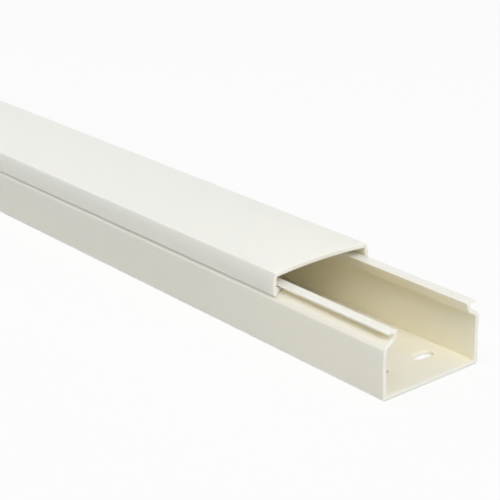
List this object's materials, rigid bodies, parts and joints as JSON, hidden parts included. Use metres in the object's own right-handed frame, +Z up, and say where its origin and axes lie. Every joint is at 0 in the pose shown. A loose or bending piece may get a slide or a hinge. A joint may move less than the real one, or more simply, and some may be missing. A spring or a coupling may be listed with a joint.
{
  "type": "cord cover raceway",
  "caption": "Straight surface raceway for cords: an open channel with inturned snap lips, slotted floor, and a crowned clip-on lid shown slid part-way back.",
  "frame": {"origin": "centre of the channel's flat underside, midway along its length", "axes": "+X along the stock to the front end, where the picture shows the channel open; +Y across it; +Z up out of the wall or floor it is fixed to"},
  "size_m": [2.074, 0.0608, 0.0396],
  "materials": {
    "base_pvc": "satin",
    "lid_pvc": "satin"
  },
  "bodies": {
    "base": {"base": "base_pvc"},
    "lid": {"lid": "lid_pvc"}
  },
  "joints": [
    {"name": "lid_slide", "type": "slide", "parent": "base", "child": "lid", "axis": [1, 0, 0], "range_m": [-1.826, 1.974]}
  ]
}
